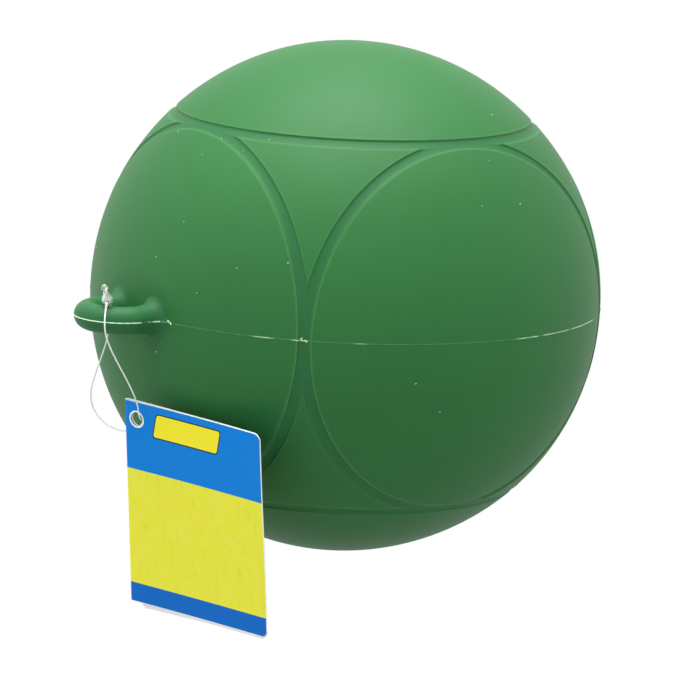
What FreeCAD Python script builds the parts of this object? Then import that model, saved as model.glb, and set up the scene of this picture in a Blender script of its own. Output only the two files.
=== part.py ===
"""Slalom buoy: a hollow moulded ball with a moulded-in anchor loop, and a hang tag on a loop fastener.

Millimetres. +Z up, through the pole of the ball. The anchor loop points along -Y.
The origin is the centre of the ball, on the waterline of an anchored buoy, which floats half under.
"""
import FreeCAD, Part
import math
import os

# ---- driving dimensions ----------------------------------------------------------------

# ball
BALL_RADIUS = 114.3
BALL_WALL = 3.2

# circular grooves, one round each of the six axes of the ball
GROOVE_HALF_ANGLE = 44.9
GROOVE_WIDTH = 4.8
GROOVE_DEPTH = 1.0
GROOVE_DRAFT = 0.2
GROOVE_FLOOR_RADIUS = 0.75

# parting line of the two halves of the mould, round the ball and along the loop's outer side
SEAM_WIDTH = 1.0
SEAM_HEIGHT = 0.15
SEAM_END_GAP = 0.3
FIN_THICKNESS = 0.5
FIN_HEIGHT = 0.4

# shallow dish that the anchor loop stands in
DISH_HALF_WIDTH = 24.0
DISH_HALF_HEIGHT = 17.0

# anchor loop: a round bar bent to a half ring, with two legs that widen into the ball
LOOP_STANDOFF = 8.1
LOOP_RING_RADIUS = 13.1
BAR_HALF_HEIGHT = 6.0
BAR_HALF_THICKNESS = 6.0
ROOT_HALF_HEIGHT = 10.6
ROOT_HALF_THICKNESS = 6.8
ROOT_LENGTH = 5.4

# loop fastener: a strand whose one end grows into a bulb, and whose other end snaps into it
STRAND_DIAMETER = 0.65
NECK_END_RADIUS = 0.42
NECK_ROOT_RADIUS = 0.95
NECK_LENGTH = 7.0
BULB_RADIUS = 2.45
MOUTH_RADIUS = 0.7
COLLAR_END_RADIUS = 1.2
COLLAR_LENGTH = 3.6
TIP_NECK_RADIUS = 0.9
TIP_NECK_LENGTH = 0.7
TIP_BARB_RADIUS = 1.5
TIP_BARB_LENGTH = 0.8
TIP_LENGTH = 3.2
TIP_END_RADIUS = 0.5
TIP_WAY = (-0.1, -0.25, 0.96)

# hang tag: one card folded in two, seen from the front with the fold on its left
CARD_WIDTH = 75.0
CARD_HEIGHT = 95.0
CARD_THICKNESS = 0.5
CARD_CORNER_RADIUS = 3.6
FOLD_GAP = 0.8
LEAF_SPREAD = 0.4
BACK_LEAF_DROP = 2.2
HOLE_RADIUS = 3.2
HOLE_FROM_FOLD = 6.5
HOLE_FROM_TOP = 7.6
HOLE_FROM_LOOP = (11.0, 4.4, -44.0)
CARD_YAW = 18.0
CARD_PITCH = 9.8
CARD_ROLL = 2.9


# ---- helpers ---------------------------------------------------------------------------

def vector(point):
    """A FreeCAD vector from three numbers."""
    return FreeCAD.Vector(*point)


def face_of(edges):
    """A flat face inside a closed chain of edges."""
    return Part.Face(Part.Wire(edges))


def polygon_face(points):
    """A flat face inside straight sides."""
    return Part.Face(Part.makePolygon([vector(p) for p in points + points[:1]]))


def loop_centre():
    """The middle of the anchor loop's half ring, which stands off the ball's side."""
    return vector((0, -BALL_RADIUS - LOOP_STANDOFF, 0))


def export(shape, node):
    """Writes one node and says how many solids it holds."""
    shape.exportStep("parts/" + node + ".step")
    print(node, len(shape.Solids), "solid", round(shape.Volume, 1), "mm3", shape.isValid())


# ---- ball ------------------------------------------------------------------------------

def groove_cutter():
    """The ring that cuts one groove, round +Z: drafted walls that round into a flat floor."""
    outside = GROOVE_DEPTH
    floor = GROOVE_WIDTH / 2 - GROOVE_FLOOR_RADIUS
    bend = GROOVE_FLOOR_RADIUS * (1 - math.sqrt(0.5))
    wall_foot = GROOVE_DEPTH - GROOVE_FLOOR_RADIUS
    mouth = GROOVE_WIDTH / 2 + GROOVE_DRAFT * (wall_foot + outside) / wall_foot

    def at(across, depth):
        turn = math.radians(GROOVE_HALF_ANGLE) + across / BALL_RADIUS
        radius = BALL_RADIUS - depth
        return vector((radius * math.sin(turn), 0, radius * math.cos(turn)))

    def side(sign):
        return [at(sign * mouth, -outside), at(sign * GROOVE_WIDTH / 2, wall_foot),
                at(sign * (GROOVE_WIDTH / 2 - bend), GROOVE_DEPTH - bend), at(sign * floor, GROOVE_DEPTH)]

    near, far = side(-1), side(1)
    profile = face_of([
        Part.LineSegment(near[0], near[1]).toShape(),
        Part.Arc(near[1], near[2], near[3]).toShape(),
        Part.LineSegment(near[3], far[3]).toShape(),
        Part.Arc(far[3], far[2], far[1]).toShape(),
        Part.LineSegment(far[1], far[0]).toShape(),
        Part.LineSegment(far[0], near[0]).toShape(),
    ])
    return profile.revolve(vector((0, 0, 0)), vector((0, 0, 1)), 360)


def seam_arcs():
    """The low ridge that the parting line leaves round the ball, between the places where two grooves meet."""
    inside = BALL_RADIUS - BALL_WALL / 2
    crest = BALL_RADIUS + SEAM_HEIGHT
    foot = BALL_RADIUS * math.cos(SEAM_WIDTH / 2 / BALL_RADIUS)
    section = polygon_face([
        (inside, 0, -SEAM_WIDTH / 2), (foot, 0, -SEAM_WIDTH / 2), (crest, 0, -SEAM_WIDTH / 8),
        (crest, 0, SEAM_WIDTH / 8), (foot, 0, SEAM_WIDTH / 2), (inside, 0, SEAM_WIDTH / 2),
    ])
    meeting = 45 - GROOVE_HALF_ANGLE + math.degrees((GROOVE_WIDTH / 2 + GROOVE_DRAFT + SEAM_END_GAP) / BALL_RADIUS)
    arcs = []
    for corner in (45, 135, 225, 315):
        start = section.copy()
        start.rotate(vector((0, 0, 0)), vector((0, 0, 1)), corner + meeting)
        arcs.append(start.revolve(vector((0, 0, 0)), vector((0, 0, 1)), 90 - 2 * meeting))
    return arcs


def ellipse_wire(centre, half_x, half_z):
    """An ellipse that faces along Y."""
    end_x = centre + vector((half_x, 0, 0))
    end_z = centre + vector((0, 0, half_z))
    if half_x >= half_z:
        ellipse = Part.Ellipse(end_x, end_z, centre)
    else:
        ellipse = Part.Ellipse(end_z, end_x, centre)
    return Part.Wire([ellipse.toShape()])


def dish_floor(inset=0):
    """The upright round bar whose side is the dish's floor: flat up and down, and gently round sideways.

    It leaves the ball's surface at DISH_HALF_HEIGHT above and below the loop, and at DISH_HALF_WIDTH on each side.
    """
    floor = math.sqrt(BALL_RADIUS ** 2 - DISH_HALF_HEIGHT ** 2)
    rise = floor - math.sqrt(BALL_RADIUS ** 2 - DISH_HALF_WIDTH ** 2)
    radius = (DISH_HALF_WIDTH ** 2 + rise ** 2) / (2 * rise)
    return Part.makeCylinder(radius - inset, 3 * BALL_RADIUS,
                             vector((0, radius - floor, -1.5 * BALL_RADIUS)), vector((0, 0, 1)))


def ball_shell():
    """The hollow ball, with its seam, its six grooves and the dish, all over an even wall."""
    floor = dish_floor()
    ball = Part.makeSphere(BALL_RADIUS).common(floor)
    upright = groove_cutter()
    cutters = []
    for axis, angle in (((1, 0, 0), 0), ((1, 0, 0), 180), ((1, 0, 0), 90),
                        ((1, 0, 0), -90), ((0, 1, 0), 90), ((0, 1, 0), -90)):
        ring = upright.copy()
        ring.rotate(vector((0, 0, 0)), vector(axis), angle)
        cutters.append(ring)
    inside = Part.makeSphere(BALL_RADIUS - BALL_WALL).common(dish_floor(BALL_WALL))
    return ball.cut(cutters).cut(inside).fuse([arc.common(floor) for arc in seam_arcs()])


# ---- anchor loop -----------------------------------------------------------------------

def loop_leg(side):
    """One leg, from the half ring into the ball, widening into its root."""
    start = loop_centre() + vector((side * LOOP_RING_RADIUS, 0, 0))
    length = LOOP_STANDOFF + ROOT_LENGTH
    sections = []
    for share, spread in ((0, 0), (0.15, 0.04), (0.3, 0.25), (0.5, 0.72), (1, 1)):
        sections.append(ellipse_wire(
            start + vector((0, share * length, 0)),
            BAR_HALF_THICKNESS + spread * (ROOT_HALF_THICKNESS - BAR_HALF_THICKNESS),
            BAR_HALF_HEIGHT + spread * (ROOT_HALF_HEIGHT - BAR_HALF_HEIGHT)))
    return Part.makeLoft(sections, True)


def loop_fin():
    """The thin fin that the parting line leaves along the loop's outer side."""
    centre = loop_centre()
    ring_reach = LOOP_RING_RADIUS + BAR_HALF_THICKNESS + FIN_HEIGHT
    root_reach = LOOP_RING_RADIUS + ROOT_HALF_THICKNESS + FIN_HEIGHT
    foot = centre.y + LOOP_STANDOFF + ROOT_LENGTH
    low = -FIN_THICKNESS / 2
    corners = [vector((x, y, low)) for x, y in (
        (ring_reach, centre.y), (root_reach, foot), (-root_reach, foot), (-ring_reach, centre.y))]
    crest = vector((0, centre.y - ring_reach, low))
    plate = face_of([
        Part.LineSegment(corners[0], corners[1]).toShape(),
        Part.LineSegment(corners[1], corners[2]).toShape(),
        Part.LineSegment(corners[2], corners[3]).toShape(),
        Part.Arc(corners[3], crest, corners[0]).toShape(),
    ]).extrude(vector((0, 0, FIN_THICKNESS)))
    eye = Part.makeCylinder(LOOP_RING_RADIUS, 2 * FIN_THICKNESS, centre + vector((0, 0, 2 * low)))
    eye = eye.fuse(Part.makeBox(2 * LOOP_RING_RADIUS, 2 * (LOOP_STANDOFF + ROOT_LENGTH), 2 * FIN_THICKNESS,
                                centre + vector((-LOOP_RING_RADIUS, 0, 2 * low))))
    return plate.cut(eye)


def anchor_loop():
    """The half ring, its two legs and the fin, seated on the dish's floor."""
    section = Part.Face(ellipse_wire(loop_centre() + vector((LOOP_RING_RADIUS, 0, 0)),
                                     BAR_HALF_THICKNESS, BAR_HALF_HEIGHT))
    ring = section.revolve(loop_centre(), vector((0, 0, 1)), -180)
    loop = ring.fuse([loop_leg(1), loop_leg(-1)]).removeSplitter()
    return loop.fuse(loop_fin()).cut(dish_floor())


# ---- hang tag --------------------------------------------------------------------------

def card_placement():
    """From the card's own frame (X right, Y back, Z up, origin in the hole) to the buoy's."""
    turn = FreeCAD.Rotation(vector((0, 0, 1)), CARD_YAW)
    turn = turn.multiply(FreeCAD.Rotation(vector((1, 0, 0)), CARD_PITCH))
    turn = turn.multiply(FreeCAD.Rotation(vector((0, 1, 0)), CARD_ROLL))
    return FreeCAD.Placement(loop_centre() + vector(HOLE_FROM_LOOP), turn)


def hang_tag():
    """The folded card: a strip in a narrow U, trimmed to the outline, with its hole through both leaves."""
    left = -HOLE_FROM_FOLD
    right = left + CARD_WIDTH
    top = HOLE_FROM_TOP
    bottom = top - CARD_HEIGHT - BACK_LEAF_DROP
    inner = FOLD_GAP / 2
    outer = inner + CARD_THICKNESS
    fold_x = left + outer
    middle = outer
    front_out, front_in = middle - outer, middle - inner
    back_in, back_out = middle + inner, middle + outer
    corners = [
        (right, front_out), (fold_x, front_out), (fold_x, back_out),
        (right, back_out + LEAF_SPREAD), (right, back_in + LEAF_SPREAD),
        (fold_x, back_in), (fold_x, front_in), (right, front_in),
    ]
    p = [vector((x, y, bottom)) for x, y in corners]
    crest_out = vector((fold_x - outer, middle, bottom))
    crest_in = vector((fold_x - inner, middle, bottom))
    strip = face_of([
        Part.LineSegment(p[0], p[1]).toShape(),
        Part.Arc(p[1], crest_out, p[2]).toShape(),
        Part.LineSegment(p[2], p[3]).toShape(),
        Part.LineSegment(p[3], p[4]).toShape(),
        Part.LineSegment(p[4], p[5]).toShape(),
        Part.Arc(p[5], crest_in, p[6]).toShape(),
        Part.LineSegment(p[6], p[7]).toShape(),
        Part.LineSegment(p[7], p[0]).toShape(),
    ]).extrude(vector((0, 0, top - bottom)))
    front = leaf_outline(left, right, top, top - CARD_HEIGHT, front_out, middle)
    back = leaf_outline(left, right, top, bottom, middle, back_out + LEAF_SPREAD)
    card = strip.common(front.fuse(back))
    hole = Part.makeCylinder(HOLE_RADIUS, 4 * (outer + LEAF_SPREAD),
                             vector((0, -outer - LEAF_SPREAD, 0)), vector((0, 1, 0)))
    card = card.cut(hole)
    card.Placement = card_placement()
    return card


def leaf_outline(left, right, top, bottom, front, back):
    """A block of the leaf's outline, with its two right corners rounded, from front to back."""
    block = Part.makeBox(right - left, back - front, top - bottom, vector((left, front, bottom)))
    corners = [e for e in block.Edges
               if abs(e.CenterOfMass.x - right) < 1e-6 and abs(e.Length - (back - front)) < 1e-6]
    return block.makeFillet(CARD_CORNER_RADIUS, corners)


# ---- loop fastener ---------------------------------------------------------------------

# The strand's route, from the middle of the anchor loop's half ring: down past the front of the bar,
# through the hole, and back up through the eye.
STRAND_ROUTE = [
    (12.4, -14.7, 5.2),
    (15.6, -17.3, 2.4),
    (16.4, -17.4, -3.4),
    (16.3, -14.5, -10.2),
    (16.8, -10.3, -17.5),
    (17.7, -4.8, -26.7),
    (16.9, 0.7, -36.0),
    (15.5, 2.7, -43.3),
    (9.9, 9.7, -46.1),
    (2.6, 9.6, -51.0),
    (-5.2, 7.2, -53.4),
    (-13.0, 2.8, -50.4),
    (-17.0, -0.2, -44.4),
    (-16.8, -1.8, -37.6),
    (-12.6, -2.6, -29.4),
    (-7.0, -3.2, -20.0),
    (-2.4, -3.4, -11.0),
    (-1.2, -3.0, -1.6),
    (1.0, -4.4, 7.0),
    (5.4, -8.8, 10.2),
]


def strand_points():
    """The strand's route in the buoy's frame."""
    return [loop_centre() + vector(p) for p in STRAND_ROUTE]


def strand_tube():
    """The strand: straight runs joined by arcs, each as large as its two runs allow."""
    points = strand_points()
    runs = [points[i + 1] - points[i] for i in range(len(points) - 1)]
    edges = []
    radii = []
    start = points[0]
    for i in range(1, len(points) - 1):
        before = runs[i - 1]
        after = runs[i]
        turn = before.getAngle(after)
        cut = 0.45 * min(before.Length, after.Length)
        along_in = FreeCAD.Vector(before).normalize()
        along_out = FreeCAD.Vector(after).normalize()
        arc_start = points[i] - along_in * cut
        arc_end = points[i] + along_out * cut
        radius = cut / math.tan(turn / 2)
        to_centre = (along_out - along_in).normalize()
        middle = points[i] + to_centre * (radius / math.cos(turn / 2) - radius)
        edges.append(Part.LineSegment(start, arc_start).toShape())
        edges.append(Part.Arc(arc_start, middle, arc_end).toShape())
        start = arc_end
        radii.append(round(radius, 1))
    edges.append(Part.LineSegment(start, points[-1]).toShape())
    path = Part.Wire(edges)
    section = Part.Wire([Part.Circle(points[0], runs[0], STRAND_DIAMETER / 2).toShape()])
    tube = path.makePipeShell([section], True, False)
    area = math.pi * STRAND_DIAMETER ** 2 / 4
    print("strand length", round(path.Length, 2), "volume share", round(tube.Volume / area / path.Length, 4))
    print("strand radii", radii)
    return tube


def bulb_centre():
    """The middle of the bulb, in line with the strand's first run."""
    first, second = strand_points()[:2]
    return first + (first - second).normalize() * NECK_LENGTH


def fastener_socket():
    """The bulb on the strand's first end: a tapered neck, a mouth for the other end and a collar on top."""
    points = strand_points()
    centre = bulb_centre()
    neck = Part.makeCone(NECK_END_RADIUS, NECK_ROOT_RADIUS, NECK_LENGTH, points[0], centre - points[0])
    mouth = Part.makeCylinder(MOUTH_RADIUS, (centre - points[-1]).Length, points[-1],
                              points[-1] - points[-2])
    collar = Part.makeCone(BULB_RADIUS, COLLAR_END_RADIUS, COLLAR_LENGTH, centre, vector(TIP_WAY))
    return Part.makeSphere(BULB_RADIUS, centre).fuse([neck, mouth, collar])


def fastener_tip():
    """The barbed end of the strand, which stands out of the socket's collar."""
    barb_top = TIP_NECK_LENGTH + TIP_BARB_LENGTH
    profile = polygon_face([
        (0, 0, 0), (TIP_NECK_RADIUS, 0, 0), (TIP_NECK_RADIUS, 0, TIP_NECK_LENGTH),
        (TIP_BARB_RADIUS, 0, TIP_NECK_LENGTH), (TIP_BARB_RADIUS, 0, barb_top),
        (TIP_END_RADIUS, 0, TIP_LENGTH), (0, 0, TIP_LENGTH)])
    tip = profile.revolve(vector((0, 0, 0)), vector((0, 0, 1)), 360)
    way = vector(TIP_WAY).normalize()
    tip.Placement = FreeCAD.Placement(bulb_centre() + way * COLLAR_LENGTH,
                                      FreeCAD.Rotation(vector((0, 0, 1)), way))
    return tip


def main():
    os.makedirs("parts", exist_ok=True)
    export(ball_shell(), "ball_shell")
    export(anchor_loop(), "anchor_loop")
    export(hang_tag(), "hang_tag")
    export(strand_tube(), "fastener_strand")
    export(fastener_socket(), "fastener_socket")
    export(fastener_tip(), "fastener_tip")


main()
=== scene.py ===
# %% [markdown]
# # A slalom buoy and its hang tag
#
# The buoy is a hollow ball of soft green vinyl, moulded in one piece with the loop that its anchor line
# ties to. A folded card tag hangs from that loop on a clear nylon fastener. The solids that carry and
# move each piece are already made, so this lesson only dresses them: a skin for the ball, a skin for the
# loop, the fastener, the card, and then the light. The solids come in first, because every size below is
# read from them or repeats one of theirs.

# %% Load the solids
import bmesh
import bpy
import math
import numpy as np
from mathutils import Matrix, Vector


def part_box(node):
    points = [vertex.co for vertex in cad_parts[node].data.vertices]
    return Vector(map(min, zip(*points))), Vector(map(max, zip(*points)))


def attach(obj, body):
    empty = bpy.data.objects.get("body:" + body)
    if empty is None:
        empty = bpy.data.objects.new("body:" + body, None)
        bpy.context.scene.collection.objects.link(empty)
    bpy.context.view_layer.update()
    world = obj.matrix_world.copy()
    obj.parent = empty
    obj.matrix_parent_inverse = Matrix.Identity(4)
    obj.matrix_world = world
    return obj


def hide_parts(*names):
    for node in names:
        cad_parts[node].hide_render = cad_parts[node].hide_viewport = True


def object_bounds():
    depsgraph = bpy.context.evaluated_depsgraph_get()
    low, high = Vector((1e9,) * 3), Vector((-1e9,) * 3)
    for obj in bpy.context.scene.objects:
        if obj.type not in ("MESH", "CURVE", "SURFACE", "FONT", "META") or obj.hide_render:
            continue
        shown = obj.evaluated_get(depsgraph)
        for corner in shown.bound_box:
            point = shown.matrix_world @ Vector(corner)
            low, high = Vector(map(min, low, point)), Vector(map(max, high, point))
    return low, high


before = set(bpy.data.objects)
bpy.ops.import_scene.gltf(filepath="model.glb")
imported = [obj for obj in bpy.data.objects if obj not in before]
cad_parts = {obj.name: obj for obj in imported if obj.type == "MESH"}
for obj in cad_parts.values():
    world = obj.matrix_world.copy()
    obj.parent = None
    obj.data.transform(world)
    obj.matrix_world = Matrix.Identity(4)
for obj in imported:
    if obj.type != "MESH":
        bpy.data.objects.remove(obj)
solid_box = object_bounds()
print("solids:", sorted(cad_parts))

# %% [markdown]
# ## The view
#
# The buoy is seen from a little above, with the loop on the left. A camera needs a place, a point to look
# at and, since this view leans a little, a small roll. A long lens is used, because the ball is almost as
# round at its edge as in a flat drawing.

# %% Camera
CAMERA_PLACE = Vector((1.80708, -1.33902, 0.40899))
CAMERA_TARGET = Vector((0.00128, -0.00405, -0.01890))
CAMERA_ROLL = math.radians(2.6)
CAMERA_LENS = 271.74


def new_object(name, data):
    """An object that shows the data, in the scene."""
    made = bpy.data.objects.new(name, data)
    bpy.context.scene.collection.objects.link(made)
    return made


camera_data = bpy.data.cameras.new("camera")
camera_data.lens = CAMERA_LENS
camera = new_object("camera", camera_data)
camera.location = CAMERA_PLACE
look = (CAMERA_TARGET - CAMERA_PLACE).to_track_quat("-Z", "Y")
camera.rotation_euler = (look.to_matrix() @ Matrix.Rotation(CAMERA_ROLL, 3, "Z")).to_euler()
bpy.context.scene.camera = camera
print("camera stands", round((CAMERA_TARGET - CAMERA_PLACE).length, 3), "m away")

# %% [markdown]
# ## Sizes that several pieces share
#
# The ball's radius is read from its solid. The loop's half ring stands a little way off the ball, and its
# middle is the point that the fastener and the tag are placed from.

# %% Shared sizes
BALL_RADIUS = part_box("ball_shell")[1].z
LOOP_STANDOFF = 0.0081
LOOP_CENTRE = Vector((0, -BALL_RADIUS - LOOP_STANDOFF, 0))
LOOP_RING_RADIUS = 0.0131
print("ball radius", round(BALL_RADIUS, 4), "loop centre", tuple(round(x, 4) for x in LOOP_CENTRE))

# %% [markdown]
# ## The strand of the loop fastener
#
# The tag hangs on a loop of nylon line, 0.65 mm thick. It starts under the bulb that lies on the loop's
# bar, runs down past the front of the bar, goes through the hole of the card, and comes back up through
# the eye to snap into the bulb. It could be a mesh tube, but a curve says more: its points are the route,
# and a round bevel gives the thickness. The bevel is one metre and each point scales it down to the
# line's radius, so that the box Blender keeps round the curve has the right size. A NURBS curve rounds
# the corners of the route by itself, as springy line does.

# %% Strand
STRAND_DIAMETER = 0.00065
STRAND_ROUTE = [
    (0.0124, -0.0147, 0.0052),
    (0.0156, -0.0173, 0.0024),
    (0.0164, -0.0174, -0.0034),
    (0.0163, -0.0145, -0.0102),
    (0.0168, -0.0103, -0.0175),
    (0.0177, -0.0048, -0.0267),
    (0.0169, 0.0007, -0.0360),
    (0.0155, 0.0027, -0.0433),
    (0.0099, 0.0097, -0.0461),
    (0.0026, 0.0096, -0.0510),
    (-0.0052, 0.0072, -0.0534),
    (-0.0130, 0.0028, -0.0504),
    (-0.0170, -0.0002, -0.0444),
    (-0.0168, -0.0018, -0.0376),
    (-0.0126, -0.0026, -0.0294),
    (-0.0070, -0.0032, -0.0200),
    (-0.0024, -0.0034, -0.0110),
    (-0.0012, -0.0030, -0.0016),
    (0.0010, -0.0044, 0.0070),
    (0.0054, -0.0088, 0.0102),
]
route = [LOOP_CENTRE + Vector(point) for point in STRAND_ROUTE]

strand_curve = bpy.data.curves.new("fastener_line", "CURVE")
strand_curve.dimensions = "3D"
strand_curve.bevel_depth = 1.0
strand_curve.bevel_resolution = 5
strand_curve.resolution_u = 10
strand_curve.use_fill_caps = True
spline = strand_curve.splines.new("NURBS")
spline.points.add(len(route) - 1)
for spot, point in zip(spline.points, route):
    spot.co = (*point, 1)
    spot.radius = STRAND_DIAMETER / 2
spline.order_u = 3
spline.use_endpoint_u = True
strand = new_object("fastener_line", strand_curve)
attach(strand, "fastener")
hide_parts("fastener_strand")
print("strand points", len(route))

# %% [markdown]
# ## Shader maths as plain expressions
#
# A finish is a small graph of nodes. Written node by node it is hard to read, so a wrapped socket takes
# the signs + - * and adds the Math nodes itself. Everything else comes from one method, `node`, which
# sets a node up before its sockets are filled.

# %% A wrapped socket and a finish
class Signal:
    """One output socket. The signs + - * on it add Math nodes."""

    def __init__(self, finish, socket):
        self.finish = finish
        self.socket = socket

    def maths(self, operation, *values):
        return self.finish.node("ShaderNodeMath", {"operation": operation}, dict(enumerate(values)))

    def __add__(self, other):
        return self.maths("ADD", self, other)

    def __radd__(self, other):
        return self.maths("ADD", other, self)

    def __sub__(self, other):
        return self.maths("SUBTRACT", self, other)

    def __rsub__(self, other):
        return self.maths("SUBTRACT", other, self)

    def __mul__(self, other):
        return self.maths("MULTIPLY", self, other)

    def __rmul__(self, other):
        return self.maths("MULTIPLY", other, self)

    def above(self, edge, softness):
        """0 below the edge and 1 above it, with a soft step between."""
        return self.finish.node("ShaderNodeMapRange", {"interpolation_type": "SMOOTHSTEP"}, {
            "Value": self, "From Min": edge - softness / 2, "From Max": edge + softness / 2})

    def larger(self, other):
        return self.maths("MAXIMUM", self, other)


class Finish:
    """A material, or the world, with a method that adds nodes to it."""

    def __init__(self, owner):
        self.owner = owner
        owner.use_nodes = True
        self.tree = owner.node_tree
        self.tree.nodes.clear()

    def node(self, kind, settings=None, sockets=None, output=0):
        """Adds a node: first its settings, then the values and links of its sockets.

        The output that is wanted is given by its number or its name."""
        made = self.tree.nodes.new(kind)
        for name, value in (settings or {}).items():
            setattr(made, name, value)
        for name, value in (sockets or {}).items():
            if isinstance(value, Signal):
                self.tree.links.new(value.socket, made.inputs[name])
            else:
                made.inputs[name].default_value = value
        return Signal(self, made.outputs[output]) if made.outputs else made

    def mix_colour(self, mask, low, high):
        """The colour low where the mask is 0, and high where it is 1."""
        return self.node("ShaderNodeMix", {"data_type": "RGBA"}, {0: mask, 6: low, 7: high}, output=2)

    def noise(self, place, scale, detail=2.0, roughness=0.5):
        return self.node("ShaderNodeTexNoise", None, {
            "Vector": place, "Scale": scale, "Detail": detail, "Roughness": roughness})

    def place(self):
        """The point on the piece, in metres."""
        return self.node("ShaderNodeTexCoord", output="Object")

    def attribute(self, name, output="Fac"):
        """A value that the mesh carries: the output Fac is a number, and Vector a vector."""
        return self.node("ShaderNodeAttribute", {"attribute_name": name}, output=output)

    def vectors(self, operation, *values):
        """Vector maths. A length and a dot product are numbers, and the rest are vectors."""
        output = "Value" if operation in ("LENGTH", "DOT_PRODUCT") else "Vector"
        return self.node("ShaderNodeVectorMath", {"operation": operation}, dict(enumerate(values)), output)

    def bump(self, height, distance, strength=1.0):
        return self.node("ShaderNodeBump", None, {
            "Height": height, "Distance": distance, "Strength": strength})

    def surface(self, **sockets):
        """Ends the graph in a Principled shader. Underscores in a socket's name stand for spaces."""
        shader = self.node("ShaderNodeBsdfPrincipled", None, {
            name.replace("_", " "): value for name, value in sockets.items()})
        self.node("ShaderNodeOutputMaterial", None, {"Surface": shader})
        return self.owner


def new_finish(name):
    return Finish(bpy.data.materials.new(name))

# %% [markdown]
# ## The vinyl
#
# The ball and the loop are soft PVC, coloured right through. The surface is satin: it mirrors nothing
# sharply, but it pales where it is seen at a slant. Its colour drifts a little from place to place,
# because the hot powder settled unevenly in the turning mould. Where the two halves of the mould met, a
# thin skin of vinyl was squeezed out and torn off, and that torn edge is nearly white. Beside each groove
# a pale line is painted on the lip, a painted highlight, and the floor of the groove is painted a shade
# darker and bluer, a painted shade. The mesh itself says where: it carries three numbers from 0 to 1,
# `flash`, one for the lip and its painted highlight, and `hollow` for the painted shade.

# %% Vinyl finish
VINYL_GREEN = (0.0196, 0.1420, 0.0325, 1)
VINYL_SHADE = (0.0163, 0.1210, 0.0265, 1)
TORN_EDGE = (0.66, 0.88, 0.64, 1)
# painted highlight: the pale line painted on the lip beside each groove
PAINTED_LIP_HIGHLIGHT = (0.0450, 0.1960, 0.0570, 1)
# painted shade: the darker, bluer tone painted on the groove floors and on the loop
PAINTED_HOLLOW_SHADE = (0.0154, 0.1190, 0.0335, 1)


def vinyl():
    finish = new_finish("green_vinyl")
    place = finish.place()
    drift = finish.noise(place, scale=14.0, detail=3.0, roughness=0.55).above(0.5, 0.5)
    grain = finish.noise(place, scale=420.0, detail=3.0, roughness=0.6)
    pebbles = finish.noise(place, scale=1500.0)
    flash = finish.attribute("flash")
    colour = finish.mix_colour(drift * 0.6 + grain * 0.4, VINYL_SHADE, VINYL_GREEN)
    # painted shade: the groove floors, and the whole loop, are painted darker and bluer
    colour = finish.mix_colour(finish.attribute("hollow") * 0.85, colour, PAINTED_HOLLOW_SHADE)
    # painted highlight: a pale line on the lip beside each groove
    colour = finish.mix_colour(finish.attribute("lip_and_highlight") * (0.5 + grain * 0.5), colour, PAINTED_LIP_HIGHLIGHT)
    colour = finish.mix_colour(flash, colour, TORN_EDGE)
    rough = 0.43 + grain * 0.12 + drift * 0.04
    relief = finish.bump(grain * 0.7 + pebbles * 0.3, 0.00012, 0.5)
    return finish.surface(Base_Color=colour, Roughness=rough, Normal=relief, IOR=1.53,
                          Specular_IOR_Level=0.22)


vinyl_finish = vinyl()
print("finish:", vinyl_finish.name)

# %% [markdown]
# ## The skin of the ball
#
# Six round grooves are pressed into the ball, one round each end of its three axes. Each is a circle seen
# from the middle of the ball at 44.9 degrees, so neighbours just touch. A plain sphere has no edges where
# the grooves need them, and dividing it finely enough everywhere would take millions of faces. So the
# sphere is cut by planes first. A circle on a ball is a plane cut, and a few cuts at each groove put
# edges exactly along its rims. Then every point is moved in or out by a formula for the height.

# %% An even sphere
BALL_DIVISIONS = 6


def sphere_triangles(divisions):
    """An even sphere of triangles, as arrays of points and corners."""
    shape = bmesh.new()
    bmesh.ops.create_icosphere(shape, subdivisions=divisions, radius=1.0)
    turn = Matrix.Rotation(math.radians(11), 3, "X") @ Matrix.Rotation(math.radians(7), 3, "Y")
    points = np.array([turn @ v.co for v in shape.verts])
    corners = np.array([[v.index for v in face.verts] for face in shape.faces])
    shape.free()
    return points / np.linalg.norm(points, axis=1)[:, None], corners


points, corners = sphere_triangles(BALL_DIVISIONS)
print("even sphere:", len(corners), "triangles")

# %% [markdown]
# A cut splits each triangle that the plane crosses into two or three. Points that already lie almost on
# the plane are moved onto it, so that no sliver is left. A point that an earlier cut has settled stays
# where it is.

# %% A cut along a plane
SNAP = 0.0002 / BALL_RADIUS


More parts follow.
